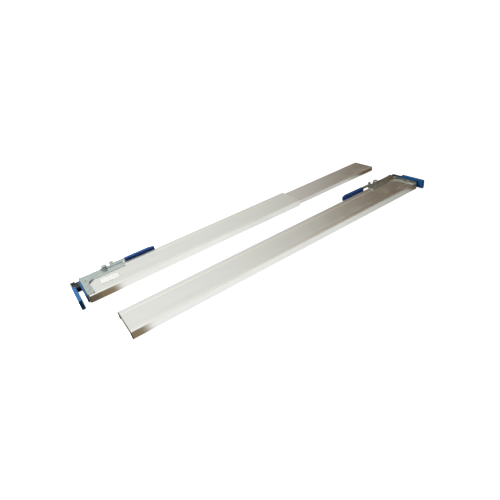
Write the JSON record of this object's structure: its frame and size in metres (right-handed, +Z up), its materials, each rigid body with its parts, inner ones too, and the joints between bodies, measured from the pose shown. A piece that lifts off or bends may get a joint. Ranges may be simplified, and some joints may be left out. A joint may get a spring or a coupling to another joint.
{
  "type": "cabinet drawer slide pair",
  "caption": "Left and right hand telescopic ball-bearing drawer slides with a sheet-metal latch bracket, a pull handle and a sprung finger tab.",
  "frame": {"origin": "middle of the pair's footprint, on the bench the slides lie on", "axes": "+X along the slides, from the left hand's latch to its open end; +Y across them, from the right hand towards the left hand; +Z up from the bench through the webs"},
  "size_m": [0.4964, 0.1524, 0.0151],
  "materials": {
    "galvanised_steel": "bright galvanised sheet, fine lines along the rolling direction",
    "zinc_plated_steel": "blue-white zinc plating on pressed sheet",
    "spring_steel": "drawn wire, lightly oiled",
    "ball_cage_steel": "polished balls in a thin bright cage",
    "blue_plastic": "moulded, fine satin grain",
    "black_plastic": "moulded, dull",
    "rubber": "dull soft rubber"
  },
  "bodies": {
    "supports": {"left_support_channel": "galvanised_steel", "left_latch_bracket": "zinc_plated_steel", "left_bracket_rivet_far": "zinc_plated_steel", "left_bracket_rivet_near": "zinc_plated_steel", "left_end_trim": "blue_plastic", "right_support_channel": "galvanised_steel", "right_latch_bracket": "zinc_plated_steel", "right_bracket_rivet_far": "zinc_plated_steel", "right_bracket_rivet_near": "zinc_plated_steel", "right_end_trim": "blue_plastic"},
    "left_cabinet": {"left_cabinet_member": "galvanised_steel", "left_rear_bumper": "rubber"},
    "left_outer_cage": {"left_outer_ball_cage": "ball_cage_steel"},
    "left_intermediate": {"left_intermediate_member": "galvanised_steel"},
    "left_inner_cage": {"left_inner_ball_cage": "ball_cage_steel"},
    "left_chassis": {"left_chassis_member": "galvanised_steel", "left_disconnect_rivet": "spring_steel"},
    "left_disconnect": {"left_disconnect_lever": "black_plastic"},
    "left_latch": {"left_latch_carrier": "zinc_plated_steel", "left_latch_block": "black_plastic", "left_pull_handle": "blue_plastic", "left_pivot_stud": "zinc_plated_steel", "left_lever_spring": "spring_steel"},
    "left_release": {"left_release_lever": "zinc_plated_steel", "left_release_tab": "blue_plastic"},
    "right_cabinet": {"right_cabinet_member": "galvanised_steel", "right_rear_bumper": "rubber"},
    "right_outer_cage": {"right_outer_ball_cage": "ball_cage_steel"},
    "right_intermediate": {"right_intermediate_member": "galvanised_steel"},
    "right_inner_cage": {"right_inner_ball_cage": "ball_cage_steel"},
    "right_chassis": {"right_chassis_member": "galvanised_steel", "right_disconnect_rivet": "spring_steel"},
    "right_disconnect": {"right_disconnect_lever": "black_plastic"},
    "right_latch": {"right_latch_carrier": "zinc_plated_steel", "right_latch_block": "black_plastic", "right_pull_handle": "blue_plastic", "right_pivot_stud": "zinc_plated_steel", "right_lever_spring": "spring_steel"},
    "right_release": {"right_release_lever": "zinc_plated_steel", "right_release_tab": "blue_plastic"}
  },
  "joints": [
    {"name": "left_length_adjust", "type": "slide", "parent": "supports", "child": "left_cabinet", "axis": [1, 0, 0], "range_m": [-0.038, 0.15]},
    {"name": "left_intermediate_slide", "type": "slide", "parent": "left_cabinet", "child": "left_intermediate", "axis": [1, 0, 0], "range_m": [0, 0.22]},
    {"name": "left_outer_cage_slide", "type": "slide", "parent": "left_cabinet", "child": "left_outer_cage", "axis": [1, 0, 0], "range_m": [0, 0.11]},
    {"name": "left_chassis_slide", "type": "slide", "parent": "left_intermediate", "child": "left_chassis", "axis": [1, 0, 0], "range_m": [0, 0.22]},
    {"name": "left_inner_cage_slide", "type": "slide", "parent": "left_intermediate", "child": "left_inner_cage", "axis": [1, 0, 0], "range_m": [0, 0.11]},
    {"name": "left_latch_slide", "type": "slide", "parent": "supports", "child": "left_latch", "axis": [1, 0, 0], "range_m": [0, 0.005]},
    {"name": "left_release_hinge", "type": "hinge", "parent": "left_latch", "child": "left_release", "pos_m": [-0.20345, 0.07215, 0.0123], "axis": [0, 0, 1], "range_deg": [0, 8], "stiffness_Nm_per_rad": 0.3, "deforming": ["left_lever_spring"]},
    {"name": "left_disconnect_hinge", "type": "hinge", "parent": "left_chassis", "child": "left_disconnect", "pos_m": [0.16125, 0.04785, 0.0022], "axis": [0, 0, 1], "range_deg": [-4, 4]},
    {"name": "right_length_adjust", "type": "slide", "parent": "supports", "child": "right_cabinet", "axis": [-1, 0, 0], "range_m": [0, 0.25]},
    {"name": "right_intermediate_slide", "type": "slide", "parent": "right_cabinet", "child": "right_intermediate", "axis": [-1, 0, 0], "range_m": [0, 0.22]},
    {"name": "right_outer_cage_slide", "type": "slide", "parent": "right_cabinet", "child": "right_outer_cage", "axis": [-1, 0, 0], "range_m": [0, 0.11]},
    {"name": "right_chassis_slide", "type": "slide", "parent": "right_intermediate", "child": "right_chassis", "axis": [-1, 0, 0], "range_m": [0, 0.22]},
    {"name": "right_inner_cage_slide", "type": "slide", "parent": "right_intermediate", "child": "right_inner_cage", "axis": [-1, 0, 0], "range_m": [0, 0.11]},
    {"name": "right_latch_slide", "type": "slide", "parent": "supports", "child": "right_latch", "axis": [-1, 0, 0], "range_m": [-0.005, 0]},
    {"name": "right_release_hinge", "type": "hinge", "parent": "right_latch", "child": "right_release", "pos_m": [0.19295, -0.02385, 0.0123], "axis": [0, 0, -1], "range_deg": [-1.5, 6.5], "stiffness_Nm_per_rad": 0.3, "deforming": ["right_lever_spring"]},
    {"name": "right_disconnect_hinge", "type": "hinge", "parent": "right_chassis", "child": "right_disconnect", "pos_m": [-0.13025, -0.04815, 0.0022], "axis": [0, 0, -1], "range_deg": [-4, 4]}
  ],
  "couplings": [
    {"joint": "left_outer_cage_slide", "follows": "left_intermediate_slide", "ratio": 0.5},
    {"joint": "left_inner_cage_slide", "follows": "left_chassis_slide", "ratio": 0.5},
    {"joint": "right_outer_cage_slide", "follows": "right_intermediate_slide", "ratio": 0.5},
    {"joint": "right_inner_cage_slide", "follows": "right_chassis_slide", "ratio": 0.5}
  ]
}
